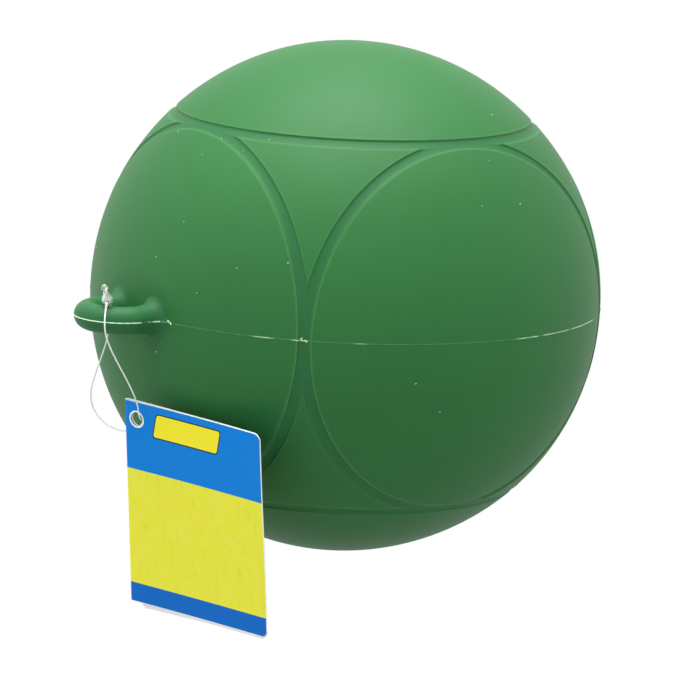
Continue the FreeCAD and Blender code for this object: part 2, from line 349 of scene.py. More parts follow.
def cut_by_plane(points, corners, axis, offset, settled):
    """Splits the triangles that the plane crosses, so that edges run along it."""
    height = points @ axis - offset
    near = (np.abs(height) < SNAP) & ~settled
    points = points - np.outer(np.where(near, height, 0), axis)
    height = np.where(near, 0, height)
    height[np.abs(height) < 1e-9] = 0
    side = np.sign(height)
    across = side[corners]
    low, high = across.min(1) < 0, across.max(1) > 0
    kept = corners[~(low & high)]
    crossed = corners[low & high]
    sides = side[crossed]
    # turn each triangle so that its first corner is alone on its side, or on the plane
    on_plane = (sides == 0).any(1)
    minority = -np.sign(sides.sum(1))[:, None]
    alone = np.where(on_plane, np.argmax(sides == 0, 1), np.argmax(sides == minority, 1))
    order = (alone[:, None] + np.arange(3)) % 3
    crossed = np.take_along_axis(crossed, order, 1)
    on, off = crossed[on_plane], crossed[~on_plane]
    pairs = np.concatenate([on[:, [1, 2]], off[:, [0, 1]], off[:, [0, 2]]])
    pairs, place = np.unique(np.sort(pairs, 1), axis=0, return_inverse=True)
    share = height[pairs[:, 0]] / (height[pairs[:, 0]] - height[pairs[:, 1]])
    fresh = points[pairs[:, 0]] + share[:, None] * (points[pairs[:, 1]] - points[pairs[:, 0]])
    place = place.reshape(-1) + len(points)
    middle, first, second = np.split(place, [len(on), len(on) + len(off)])
    corners = np.concatenate([
        kept,
        np.stack([on[:, 0], on[:, 1], middle], 1), np.stack([on[:, 0], middle, on[:, 2]], 1),
        np.stack([off[:, 0], first, second], 1),
        np.stack([first, off[:, 1], off[:, 2]], 1), np.stack([first, off[:, 2], second], 1)])
    settled = np.concatenate([settled | (height == 0), np.ones(len(fresh), bool)])
    return np.concatenate([points, fresh]), corners, settled

# %% [markdown]
# The cuts of one groove are parallel, and the middle one is made first. Each later cut then crosses fewer
# slivers, which keeps the whole skin under 200,000 triangles. The cuts are closest where the rim of a
# groove turns over. A few more run along the seam, where the halves of the mould met.

# %% Cut the sphere
GROOVE_HALF_ANGLE = math.radians(44.9)
GROOVE_WIDTH = 0.0046
CUTS_FROM_RIM = (-0.00110, -0.00065, -0.00035, -0.00015, 0.00002, 0.00020, 0.00054, 0.00090, 0.00140)
SEAM_CUTS = (-0.00064, -0.00029, -0.00012, 0, 0.00012, 0.00029, 0.00064)
AXES = np.array([(1, 0, 0), (-1, 0, 0), (0, 1, 0), (0, -1, 0), (0, 0, 1), (0, 0, -1)], float)
UP = AXES[4]
rim = GROOVE_WIDTH / 2


def middle_first(offsets):
    """The same offsets in another order: the middle one, then the middles of both halves, and so on."""
    halves = [sorted(offsets)]
    ordered = []
    for half in halves:
        if half:
            middle = len(half) // 2
            ordered.append(half[middle])
            halves += [half[:middle], half[middle + 1:]]
    return ordered


one_side = [0] + [rim + step for step in CUTS_FROM_RIM]
groove_cuts = middle_first({step * side for step in one_side for side in (-1, 1)})
settled = np.zeros(len(points), bool)
for axis in AXES:
    for step in groove_cuts:
        offset = math.cos(GROOVE_HALF_ANGLE + step / BALL_RADIUS)
        points, corners, settled = cut_by_plane(points, corners, axis, offset, settled)
for step in middle_first(SEAM_CUTS):
    points, corners, settled = cut_by_plane(points, corners, UP, step / BALL_RADIUS, settled)
directions = points / np.linalg.norm(points, axis=1)[:, None]
print("skin of the ball:", len(corners), "triangles")

# %% [markdown]
# The height of the skin is a sum of a few plain forms. The first is the groove. Its rim is crisp, its
# wall rounds down to a floor that is nearly flat, and a low lip of vinyl stands beside it where the mould
# squeezed the skin.

# %% Grooves
GROOVE_DEPTH = 0.0008
EDGE_ROUND = 0.00013
WALL_WIDTH = 0.00100
WALL_SHARE = 0.86
WALL_POWER = 2.3
LIP_HEIGHT = 0.000055
LIP_AWAY = 0.00054
LIP_SPREAD = 0.00042
FAINT_LIP = 0.3


def smooth_step(values, low, high):
    """0 below the low value and 1 above the high one, with a soft step between."""
    share = np.clip((values - low) / (high - low), 0, 1)
    return share * share * (3 - 2 * share)


def groove_insides(directions):
    """How far inside each of the six grooves a point lies, in metres, and on which side of its middle."""
    angles = np.arccos(np.clip(directions @ AXES.T, -1, 1)) - GROOVE_HALF_ANGLE
    return rim - np.abs(angles) * BALL_RADIUS, np.sign(angles)


def groove_at(directions):
    """How deep the six grooves are, from 0 to 1: crisp at the rim, then rounding to a nearly flat floor."""
    inside = groove_insides(directions)[0].max(1)
    inside = np.where(inside < EDGE_ROUND, np.maximum(inside + EDGE_ROUND, 0) ** 2 / (4 * EDGE_ROUND), inside)
    wall = np.clip(inside / WALL_WIDTH, 0, 1)
    rounding = np.sqrt(np.maximum(1 - (1 - wall) ** WALL_POWER, 0))
    return WALL_SHARE * rounding + (1 - WALL_SHARE) * smooth_step(inside, 0, rim)


def lip_and_highlight_at(directions):
    """The lip beside the grooves and its painted highlight, 0 to 1: plain on one side of each, faint on the
    other.
    """
    inside, side = groove_insides(directions)
    # which rim of each groove gets the full lip and the full painted highlight
    lip_side = np.where(np.abs(AXES[:, 2]) > 0.5, side > 0, side < 0)
    lip_and_highlight = (np.where(lip_side, 1, FAINT_LIP) * np.exp(-((inside + LIP_AWAY) / LIP_SPREAD) ** 2)).max(1)
    return lip_and_highlight * (1 - smooth_step(inside.max(1), -0.0002, 0.0002))


def hollow_shade_at(directions):
    """Where the floors of the grooves are painted darker and bluer, a painted shade, from 0 to 1."""
    return smooth_step(groove_insides(directions)[0].max(1), 0.0002, 0.0011)


print("deepest groove:", round(GROOVE_DEPTH * groove_at(directions).max() * 1000, 2), "mm")

# %% [markdown]
# The second form is the shallow dish that the loop stands in. It is what is left when an upright round
# cutter trims the ball, so its outline is an oval.

# %% Dish round the loop
DISH_HALF_WIDTH = 0.0240
DISH_HALF_HEIGHT = 0.0170
DISH_SOFTNESS = 0.0006
LOOP_SIDE = -0.7
dish_y = -math.sqrt(BALL_RADIUS ** 2 - DISH_HALF_HEIGHT ** 2)
dish_rise = -math.sqrt(BALL_RADIUS ** 2 - DISH_HALF_WIDTH ** 2) - dish_y
dish_radius = (DISH_HALF_WIDTH ** 2 + dish_rise ** 2) / (2 * dish_rise)


def dish_at(directions):
    """How deep the dish round the loop is, in metres: the ball is trimmed by an upright round surface."""
    x, y = directions[:, 0] * BALL_RADIUS, directions[:, 1] * BALL_RADIUS
    depth = dish_y + dish_radius - np.sqrt(np.maximum(dish_radius ** 2 - x ** 2, 0)) - y
    soft = DISH_SOFTNESS
    rounded = np.where(depth > soft, depth, np.where(depth < -soft, 0, (depth + soft) ** 2 / (4 * soft)))
    return np.where(y < LOOP_SIDE * BALL_RADIUS, rounded, 0)


print("dish:", round(dish_at(directions).max() * 1000, 2), "mm deep")

# %% [markdown]
# The third form is the seam, a thin ridge round the middle. Where its flash was torn off badly it stands
# higher and is nearly white. The stretches are listed, and two waves that never fall in step make
# them ragged.

# %% Seam
SEAM_HEIGHT = 0.00016
SEAM_HALF_WIDTH = 0.00018
# stretches with torn flash: from and to, in degrees round from the loop, and how much is left
SEAM_FLASH = [
    (11.7, 12.9, 1.0), (33.8, 38.6, 0.8), (42.2, 46.2, 0.9), (56.2, 58.7, 0.7), (94.0, 101.0, 0.8),
    (102.5, 112.0, 0.9), (113.5, 127.0, 1.0), (-14.0, -12.5, 0.9), (-52.0, -47.0, 0.8),
    (-88.0, -80.0, 0.7), (-131.0, -118.0, 0.9), (158.0, 166.0, 0.8),
]


def seam_at(directions):
    """How high the seam stands, and how white it is, both from 0 to 1."""
    turn = np.degrees(np.arctan2(directions[:, 0], -directions[:, 1]))
    waver = 0.5 + 0.25 * np.sin(turn * 1.7 + 1) + 0.25 * np.sin(turn * 4.9 + 2)
    torn = np.zeros(len(turn))
    for start, end, amount in SEAM_FLASH:
        stretch = smooth_step(turn, start, start + 0.5) * (1 - smooth_step(turn, end - 0.5, end))
        torn = np.maximum(torn, amount * stretch)
    ragged = 0.65 + 0.35 * np.sin(turn * 23.0) * np.sin(turn * 9.1 + 0.5)
    across = np.exp(-(directions[:, 2] * BALL_RADIUS / SEAM_HALF_WIDTH) ** 2)
    height = 0.6 + 0.4 * waver + 2.4 * torn * ragged
    whiteness = np.clip(0.10 * waver + torn * ragged, 0, 1)
    return across * height, across * whiteness


print("seam:", round(SEAM_HEIGHT * seam_at(directions)[0].max() * 1000, 2), "mm high at most")

# %% [markdown]
# Last comes a slight swell, since no soft ball is quite round, and then the forms are added up.

# %% Height of the skin
SWELL = 0.00008


def ball_height(directions):
    """How far the skin stands above the ball's plain radius, in metres."""
    swell = (np.sin(directions @ np.array((5.1, 2.3, 3.7)) + 0.4)
             + np.sin(directions @ np.array((-2.9, 6.1, 4.3)) + 2.1)) * SWELL
    dish = dish_at(directions)
    seam = seam_at(directions)[0] * (1 - smooth_step(dish, 0, 0.0016) * 0.6)
    relief = LIP_HEIGHT * lip_and_highlight_at(directions) - GROOVE_DEPTH * groove_at(directions)
    return swell + relief - dish + SEAM_HEIGHT * seam


heights = ball_height(directions)
print("lowest", round(heights.min() * 1000, 2), "mm, highest", round(heights.max() * 1000, 2), "mm")

# %% [markdown]
# The rims of the grooves are only a few tenths of a millimetre wide, so their shading has to be exact.
# Blender would guess each point's normal from the thin triangles round it. The formula knows better: the
# slope of the height gives the true normal, and the mesh keeps it.

# %% Build the ball's skin
SLOPE_STEP = 0.00005


def true_normals(directions):
    """The outward normals of the skin, from the slope of its height."""
    reach = SLOPE_STEP / BALL_RADIUS
    helper = np.where(np.abs(directions[:, 2:]) < 0.9, np.array([[0, 0, 1.0]]), np.array([[1.0, 0, 0]]))
    east = np.cross(helper, directions)
    east /= np.linalg.norm(east, axis=1)[:, None]
    north = np.cross(directions, east)
    slopes = []
    for way in (east, north):
        ahead = directions + reach * way
        behind = directions - reach * way
        ahead /= np.linalg.norm(ahead, axis=1)[:, None]
        behind /= np.linalg.norm(behind, axis=1)[:, None]
        slopes.append((ball_height(ahead) - ball_height(behind)) / (2 * reach * BALL_RADIUS))
    normals = directions - slopes[0][:, None] * east - slopes[1][:, None] * north
    return normals / np.linalg.norm(normals, axis=1)[:, None]


def new_mesh(name, points, faces):
    mesh = bpy.data.meshes.new(name)
    corners = [tuple(int(corner) for corner in face) for face in faces]
    mesh.from_pydata([tuple(point) for point in points], [], corners)
    return mesh


def new_piece(name, points, faces, finish, body, normals=None, values=None):
    """A mesh piece that rides on a body: smooth, with a finish and the numbers that its points carry."""
    mesh = new_mesh(name, points, faces)
    mesh.validate()
    mesh.shade_smooth()
    mesh.materials.append(finish)
    if normals is not None:
        mesh.normals_split_custom_set_from_vertices([tuple(normal) for normal in normals])
    for label, numbers in (values or {}).items():
        layer = mesh.attributes.new(label, "FLOAT", "POINT")
        layer.data.foreach_set("value", np.asarray(numbers, np.float32))
    piece = new_object(name, mesh)
    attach(piece, body)
    print(name, len(mesh.vertices), "points", len(mesh.polygons), "faces")
    return piece


# `hollow` carries the painted shade of the groove floors, and the lip number also carries its painted
# highlight
ball_skin = new_piece(
    "ball_skin", directions * (BALL_RADIUS + heights)[:, None], corners, vinyl_finish, "buoy",
    true_normals(directions),
    {"flash": seam_at(directions)[1], "lip_and_highlight": lip_and_highlight_at(directions), "hollow": hollow_shade_at(directions)})
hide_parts("ball_shell")

# %% [markdown]
# ## Specks and whiskers
#
# Grains of powder that did not melt in sit on the skin as pale specks under a millimetre wide, and a few
# thin whiskers of vinyl are left on the seam where two grooves meet. They could be painted on with noise,
# but noise repeats and has no height. Real little domes catch the light, and a seeded table spreads the
# rest of them.

# %% Where the specks sit
# degrees round from the loop, and degrees up
SPECKS = [
    (7.4, 38.0), (69.8, -8.7), (76.3, -15.5), (88.4, 29.7), (101.1, 29.3), (5.4, 13.5), (19.2, 7.6),
    (8.0, -7.1), (-10.4, 41.8), (11.2, 22.3), (28.4, 14.1), (40.2, 16.4), (10.5, 43.0), (96.3, 40.1),
    (112.3, 51.8), (27.1, 44.6), (20.4, 40.9),
]
SCATTERED = 34
chance = np.random.default_rng(9)
turns = chance.uniform(130, 335, SCATTERED)
rises = np.degrees(np.arcsin(chance.uniform(-0.9, 0.9, SCATTERED)))
speck_places = SPECKS + [(float(turn), float(rise)) for turn, rise in zip(turns, rises)]
print("specks:", len(speck_places))

# %% [markdown]
# A speck is a flat dome of a few rings, and a whisker a curved thread of a few rings. Both are joined
# from ring to ring with the same four-cornered faces, so one helper makes those for every ringed piece of
# the lesson.

# %% Helpers for ringed pieces


def direction_at(turn, rise):
    """The direction from the middle of the ball: degrees round from the loop, and degrees up."""
    turn, rise = math.radians(turn), math.radians(rise)
    return np.array([math.sin(turn) * math.cos(rise), -math.cos(turn) * math.cos(rise), math.sin(rise)])


def side_ways(direction):
    """Two directions along the skin, at right angles to each other."""
    east = np.cross((0.0, 0.0, 1.0), direction)
    east /= np.linalg.norm(east)
    return east, np.cross(direction, east)


def circle(spokes):
    """The cosines and sines of directions spread evenly round a circle."""
    return [(math.cos(k / spokes * 2 * math.pi), math.sin(k / spokes * 2 * math.pi)) for k in range(spokes)]


def ring_walls(rings, spokes, first=0):
    """The faces between rings that follow each other. The first ring starts at the point numbered first."""
    faces = []
    for ring in range(rings - 1):
        low = first + ring * spokes
        high = low + spokes
        faces += [(low + k, low + (k + 1) % spokes, high + (k + 1) % spokes, high + k) for k in range(spokes)]
    return faces


def joined(pieces):
    """Several pieces, each a list of points and a list of faces, as one."""
    points, faces = [], []
    for more_points, more_faces in pieces:
        start = len(points)
        points += list(more_points)
        faces += [tuple(start + corner for corner in face) for face in more_faces]
    return points, faces

# %% Specks
SPECK_HEIGHT = 0.42
SPECK_SINK = 0.04
SPECK_RINGS, SPECK_SPOKES = 5, 10


def speck(turn, rise, size):
    """One flat dome, a little longer than wide, sunk into the skin."""
    direction = direction_at(turn, rise)
    east, north = side_ways(direction)
    foot = direction * (BALL_RADIUS + ball_height(direction[None])[0])
    points = [foot + direction * size * SPECK_HEIGHT]
    for ring in range(1, SPECK_RINGS + 1):
        lean = ring / SPECK_RINGS * math.pi / 2
        lift = direction * size * (SPECK_HEIGHT * math.cos(lean) - SPECK_SINK)
        for k, (ahead, aside) in enumerate(circle(SPECK_SPOKES)):
            longer = 1 + 0.25 * math.sin(k / SPECK_SPOKES * 4 * math.pi + turn)
            points.append(foot + size / 2 * math.sin(lean) * longer * (ahead * east + aside * north) + lift)
    faces = [(0, 1 + k, 1 + (k + 1) % SPECK_SPOKES) for k in range(SPECK_SPOKES)]
    faces += [face[::-1] for face in ring_walls(SPECK_RINGS, SPECK_SPOKES, first=1)]
    return points, faces


speck_sizes = [0.00050 + 0.00035 * (k * 7 % 10) / 10 for k in range(len(speck_places))]
speck_pieces = [speck(turn, rise, size) for (turn, rise), size in zip(speck_places, speck_sizes)]
print("specks from", min(speck_sizes) * 1000, "to", round(max(speck_sizes) * 1000, 2), "mm across")

# %% Whiskers
WHISKER_STEPS, WHISKER_SPOKES = 8, 6
WHISKER_SINK = 0.0003
# degrees round and up, the lean to the east and to the north, length and thickness
WHISKERS = [
    (44.3, 0.3, 0.5, 0.6, 0.0018, 0.00050), (44.8, -0.1, -0.5, 0.8, 0.0019, 0.00045),
    (45.2, 0.1, 0.7, -0.5, 0.0016, 0.00050), (12.0, 0.2, -0.3, 0.6, 0.0014, 0.00100),
    (12.5, 0.0, 0.7, -0.4, 0.0014, 0.00085), (35.2, 0.1, 0.6, -0.3, 0.0009, 0.00025),
    (112.0, 0.1, 0.5, 0.3, 0.0010, 0.00025), (-49.0, 0.1, 0.4, 0.4, 0.0012, 0.00025),
    (-122.0, 0.1, 0.6, 0.2, 0.0012, 0.00022),
]
SPECK_PALENESS, WHISKER_PALENESS = 0.45, 0.95


def whisker(turn, rise, lean_east, lean_north, length, thickness):
    """One thin curved thread that stands on the skin and ends in a point."""
    direction = direction_at(turn, rise)
    east, north = side_ways(direction)
    foot = direction * (BALL_RADIUS - WHISKER_SINK)
    points = []
    for step in range(WHISKER_STEPS + 1):
        share = step / WHISKER_STEPS
        middle = foot + length * (direction * (share - 0.45 * share ** 2)
                                  + (lean_east * east + lean_north * north) * share ** 1.6)
        radius = thickness / 2 * (1 - share ** 3 * 0.9)
        points += [middle + radius * (ahead * east + aside * north)
                   for ahead, aside in circle(WHISKER_SPOKES)]
    faces = ring_walls(WHISKER_STEPS + 1, WHISKER_SPOKES)
    faces.append(tuple(range(WHISKER_STEPS * WHISKER_SPOKES, (WHISKER_STEPS + 1) * WHISKER_SPOKES)))
    return points, faces


speck_points, speck_faces = joined(speck_pieces)
whisker_points, whisker_faces = joined([whisker(*values) for values in WHISKERS])
paleness = [SPECK_PALENESS] * len(speck_points) + [WHISKER_PALENESS] * len(whisker_points)
flash_points, flash_faces = joined([(speck_points, speck_faces), (whisker_points, whisker_faces)])
new_piece("specks_and_whiskers", flash_points, flash_faces, vinyl_finish, "buoy",
          values={"flash": paleness})

# %% [markdown]
# ## The anchor loop
#
# The loop is a bar bent to a half ring, with two legs that widen where they grow out of the ball. It is
# swept: one ellipse after another is set along the line of the loop, and neighbours are joined. Near the
# ball the ellipses grow, and the last ones lie on the floor of the dish, so that the leg flows into the
# ball as the moulding does. The outer side carries the same torn seam as the ball.

# %% Section of the bar
BAR_HALF_HEIGHT = 0.0060
BAR_HALF_THICKNESS = 0.0060
FIN_HEIGHT = 0.00045
FIN_HALF_ANGLE = math.radians(2.4)
FIN_FOOT = 1.3
# where the fin broke away: from and to, in millimetres along the loop from its right root, and how much
FIN_BREAKS = [
    (-1.0, 1.8, 0.85), (5.2, 6.3, 1.0), (7.2, 10.3, 0.95),
    (43.0, 45.5, 0.9), (52.0, 54.0, 1.0), (56.5, 62.0, 0.8),
]


def section_angles():
    """Angles round the bar, closer together where the seam's fin stands."""
    fin = [FIN_HALF_ANGLE * step for step in (-2, -FIN_FOOT, -0.9, -0.5, 0, 0.5, 0.9, FIN_FOOT, 2)]
    rest = np.linspace(2 * FIN_HALF_ANGLE, 2 * math.pi - 2 * FIN_HALF_ANGLE, 60)[1:-1]
    return np.array(fin + list(rest))


def fin_at(along):
    """The height of the torn fin along the loop, from 0 to 1."""
    wave = 0.80 + 0.16 * np.sin(along * 2600) + 0.16 * np.sin(along * 5900 + 1.3)
    for start, end, amount in FIN_BREAKS:
        gone = smooth_step(along * 1000, start - 0.3, start) * (1 - smooth_step(along * 1000, end, end + 0.3))
        wave = wave * (1 - amount * gone)
    return np.clip(wave, 0, 1)


angles = section_angles()
outward, upward = np.cos(angles), np.sin(angles)
from_seam = np.abs((angles + math.pi) % (2 * math.pi) - math.pi)
fin = np.maximum(0, 1 - from_seam / (FIN_FOOT * FIN_HALF_ANGLE))
print("the section has", len(angles), "points")

# %% [markdown]
# A leg starts as the plain bar. It widens towards its root, and over its last stretch it flares out in a
# quarter round, down to the floor of the dish. So the floor has to be known under every point of the
# ring.

# %% Rings of the legs and of the bend
ROOT_LENGTH = 0.0054
ROOT_HALF_HEIGHT = 0.0074
ROOT_HALF_THICKNESS = 0.0064
FILLET, FILLET_HEIGHT = 0.0028, 0.0042
STRAIGHT_SHARE = 0.7
ROOT_SINK = 0.00005


def floor_y(x, z):
    """Where the floor of the dish lies under a point of the loop."""
    y = -np.sqrt(np.maximum(BALL_RADIUS ** 2 - x ** 2 - z ** 2, 0))
    for _ in range(4):
        directions = np.stack([x, y, z], -1)
        directions /= np.linalg.norm(directions, axis=1)[:, None]
        radius = BALL_RADIUS + ball_height(directions)
        y = -np.sqrt(np.maximum(radius ** 2 - x ** 2 - z ** 2, 0))
    return y


leg_length = LOOP_STANDOFF + ROOT_LENGTH
seat = float(floor_y(np.array([LOOP_RING_RADIUS]), np.array([0.0]))[0])


def leg_ring(side, share):
    """One ring of a leg: share 0 is at the half ring, and 1 is on the floor of the dish."""
    near = max(0.0, (share - STRAIGHT_SHARE) / (1 - STRAIGHT_SHARE))
    far = min(share / STRAIGHT_SHARE, 1.0)
    reach = far * (seat - FILLET_HEIGHT - LOOP_CENTRE.y) + near * FILLET_HEIGHT
    widen = smooth_step(np.array([reach / leg_length]), 0.10, 0.80)[0]
    half_x = BAR_HALF_THICKNESS + widen * (ROOT_HALF_THICKNESS - BAR_HALF_THICKNESS)
    half_z = BAR_HALF_HEIGHT + widen * (ROOT_HALF_HEIGHT - BAR_HALF_HEIGHT)
    flare = FILLET * (1 - math.sqrt(max(0.0, 1 - near ** 2)))
    x = side * (LOOP_RING_RADIUS + (half_x + flare) * outward)
    z = (half_z + flare) * upward
    floor = floor_y(x, z)
    y = LOOP_CENTRE.y + far * (floor - FILLET_HEIGHT - LOOP_CENTRE.y) + near * (FILLET_HEIGHT + ROOT_SINK)
    return np.stack([x, y, z], 1)


def bend_ring(turn):
    """One ring of the half ring, at a turn from 0 (right leg) to 180 degrees (left leg)."""
    reach = LOOP_RING_RADIUS + BAR_HALF_THICKNESS * outward
    x = reach * math.cos(turn)
    y = LOOP_CENTRE.y - reach * math.sin(turn)
    return np.stack([x, y, BAR_HALF_HEIGHT * upward], 1)


print("a leg ends", round((BALL_RADIUS + seat) * 1000, 2), "mm inside the ball's front")

# %% Sweep the loop
LEG_RINGS = 9
BEND_RINGS = 61

close_rings = 1 - np.linspace(0, 1, LEG_RINGS)[:-1] ** 1.6 * (1 - STRAIGHT_SHARE)
leg_shares = np.concatenate([close_rings, np.linspace(STRAIGHT_SHARE, 0, LEG_RINGS)])
rings = [leg_ring(1, share) for share in leg_shares[:-1]]
rings += [bend_ring(turn) for turn in np.linspace(0, math.pi, BEND_RINGS)]
rings += [leg_ring(-1, share) for share in leg_shares[::-1][1:]]
rings = np.array(rings)
middle = rings.mean(1)
along = np.concatenate([[0], np.cumsum(np.linalg.norm(np.diff(middle, axis=0), axis=1))])
lift = fin_at(along)[:, None] * fin[None, :]
away = rings - middle[:, None, :]
away /= np.linalg.norm(away, axis=2)[:, :, None]
rings += FIN_HEIGHT * lift[:, :, None] * away
# the whole loop gets the groove floors' painted shade, which paints it darker than the ball
loop_values = {"flash": np.clip(lift * 1.5, 0, 1).reshape(-1), "hollow": np.full(lift.size, 1.15)}
loop_skin = new_piece("loop_skin", rings.reshape(-1, 3), ring_walls(len(rings), len(angles)), vinyl_finish,
                      "buoy", values=loop_values)
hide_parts("anchor_loop")
print("loop is swept through", len(rings), "rings")

# %% [markdown]
# ## Nylon
#
# The fastener is clear nylon, slightly milky. Light passes through it and scatters a little, so it looks
# white over the ball and grey over a white wall, with brighter edges. Transmission lets the light
# through, and a thin cloud of noise in the colour and the roughness keeps it from looking like glass.

# %% Nylon finish
def nylon(name, clearness, cloudy, clear):
    finish = new_finish(name)
    cloud = finish.noise(finish.place(), 900.0, 2.0)
    colour = finish.mix_colour(cloud, cloudy, clear)
    relief = finish.bump(cloud, 0.00004, 0.4)
    return finish.surface(Base_Color=colour, Roughness=0.12 + cloud * 0.12, Normal=relief, IOR=1.53,
                          Transmission_Weight=clearness)


line_finish = nylon("clear_nylon", 0.24, (0.80, 0.87, 0.82, 1), (0.89, 0.93, 0.90, 1))
bulb_finish = nylon("clear_nylon_bulb", 0.84, (0.88, 0.93, 0.89, 1), (0.97, 0.98, 0.97, 1))
strand_curve.materials.append(line_finish)
print("finishes:", line_finish.name, bulb_finish.name)

# %% [markdown]
# ## The bulb and the tip of the fastener
#
# One end of the line grows into a hollow bulb. The other end is an arrow-shaped tip, pushed through the
# bulb until it snaps. Each is a few round limbs that run into each other. Joining them by booleans leaves
# sharp creases, but a moulded piece has none, so the limbs are remeshed as one lump and smoothed. The
# bulb gets its hollow too: light bends at the thin wall, and that is what draws its bright outline.

# %% Round limbs
CAP_START = 0.35
CAP_RINGS = 14


def limb(places, radii, spokes=32):
    """A round limb through the places, with these radii, closed by a fan at each end."""
    points, faces = [places[0]], []
    way = (places[-1] - places[0]).normalized()
    east = way.orthogonal().normalized()
    north = way.cross(east)
    for place, radius in zip(places, radii):
        points += [place + radius * (ahead * east + aside * north) for ahead, aside in circle(spokes)]
    faces += ring_walls(len(places), spokes, first=1)
    points.append(places[-1])
    last = 1 + (len(places) - 1) * spokes
    faces += [(0, 1 + (k + 1) % spokes, 1 + k) for k in range(spokes)]
    faces += [(len(points) - 1, last + k, last + (k + 1) % spokes) for k in range(spokes)]
    return points, faces


def rounded_limb(start, end, start_radius, end_radius):
    """A tapering limb with a half ball at each end."""
    way = (end - start).normalized()
    leans = [(k + CAP_START) / CAP_RINGS * math.pi / 2 for k in range(CAP_RINGS)]
    shares = [k / CAP_RINGS for k in range(CAP_RINGS + 1)]
    places = [start - way * start_radius * math.cos(lean) for lean in leans]
    places += [start.lerp(end, share) for share in shares]
    places += [end + way * end_radius * math.cos(lean) for lean in reversed(leans)]
    radii = [start_radius * math.sin(lean) for lean in leans]
    radii += [start_radius + (end_radius - start_radius) * share for share in shares]
    radii += [end_radius * math.sin(lean) for lean in reversed(leans)]
    return limb(places, radii)

# %% [markdown]
# The limbs of one lump overlap. A voxel remesh melts them into a single skin, and a few rounds of
# smoothing take the small steps off it. The finished points are read back, so that no modifier is left on
# the piece.

# %% Melt limbs into one lump


def smooth_lump(limbs, grain, rounds):
    """Joins limbs into one smooth lump: its points and faces."""
    lump = new_object("limbs", new_mesh("limbs", *joined(limbs)))
    remesh = lump.modifiers.new("remesh", "REMESH")
    remesh.mode = "VOXEL"
    remesh.voxel_size = grain
    soften = lump.modifiers.new("soften", "SMOOTH")
    soften.iterations = rounds
    bpy.context.view_layer.update()
    smooth = lump.evaluated_get(bpy.context.evaluated_depsgraph_get()).to_mesh()
    points = [vertex.co.copy() for vertex in smooth.vertices]
    faces = [tuple(face.vertices) for face in smooth.polygons]
    bpy.data.objects.remove(lump)
    return points, faces


def nylon_lump(name, limbs, grain, rounds, node, hollow=()):
    """A smooth nylon lump that stands for a node of the solids. Its hollow is a second lump, inside out."""
    points, faces = smooth_lump(limbs, grain, rounds)
    if hollow:
        inner_points, inner_faces = smooth_lump(hollow, grain, rounds)
        inside_out = [tuple(reversed(face)) for face in inner_faces]
        points, faces = joined([(points, faces), (inner_points, inside_out)])
    piece = new_piece(name, points, faces, bulb_finish, "fastener")
    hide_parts(node)
    return piece

# %% Bulb
BULB_RADIUS, COLLAR_LENGTH, COLLAR_RADIUS = 0.00268, 0.0036, 0.0013
BULB_WALL, COLLAR_WALL = 0.00062, 0.00055
BULB_GRAIN = 0.00013
NECK_LENGTH = 0.0070
# how far along the neck, and its radius there
NECK_SHAPE = [(0, 0.00042), (0.25, 0.00050), (0.5, 0.00066), (0.62, 0.00084), (0.72, 0.00120),
              (0.85, 0.00170), (1, 0.0019)]
MOUTH_RADIUS = 0.0007
MOUTH_DEPTH = 0.0004
TIP_WAY = Vector((-0.10, -0.25, 0.96)).normalized()

bulb_middle = route[0] + (route[0] - route[1]).normalized() * NECK_LENGTH
collar_end = bulb_middle + TIP_WAY * COLLAR_LENGTH
mouth_end = route[-1] + (route[-1] - route[-2]).normalized() * MOUTH_DEPTH
neck_places = [route[0].lerp(bulb_middle, share) for share, _ in NECK_SHAPE]
neck = limb(neck_places, [radius for _, radius in NECK_SHAPE])
drop = rounded_limb(bulb_middle, collar_end - TIP_WAY * COLLAR_RADIUS * 0.7,
                    BULB_RADIUS * 0.98, COLLAR_RADIUS)
mouth = rounded_limb(mouth_end, bulb_middle, MOUTH_RADIUS, MOUTH_RADIUS)
hollow = rounded_limb(bulb_middle, collar_end - TIP_WAY * COLLAR_RADIUS * 0.9,
                      BULB_RADIUS - BULB_WALL, COLLAR_RADIUS - COLLAR_WALL)
bulb = nylon_lump("fastener_bulb", [neck, drop, mouth], BULB_GRAIN, 5, "fastener_socket", [hollow])

# %% Tip
TIP_GRAIN = 0.00010
# how far beyond the collar, and the radius there
TIP_SHAPE = [(-0.0004, 0.00105), (0.0004, 0.00110), (0.0008, 0.00138), (0.0013, 0.00147), (0.0019, 0.00136),
             (0.0025, 0.00105), (0.0030, 0.00062), (0.0033, 0.00025)]

arrow = limb([collar_end + TIP_WAY * reach for reach, _ in TIP_SHAPE], [radius for _, radius in TIP_SHAPE])
tip = nylon_lump("fastener_arrow", [arrow], TIP_GRAIN, 2, "fastener_tip")

# %% [markdown]
# ## The folded card
#
# The tag is one strip of card, printed on one side, cut with its holes and round corners, and folded in
# two. It is made in the same order here: a flat slab, a cut for the holes, and then a formula that wraps
# the slab round the fold. Folding last keeps the thickness right, and each point remembers where it was
# on the flat strip, which is where the print goes.

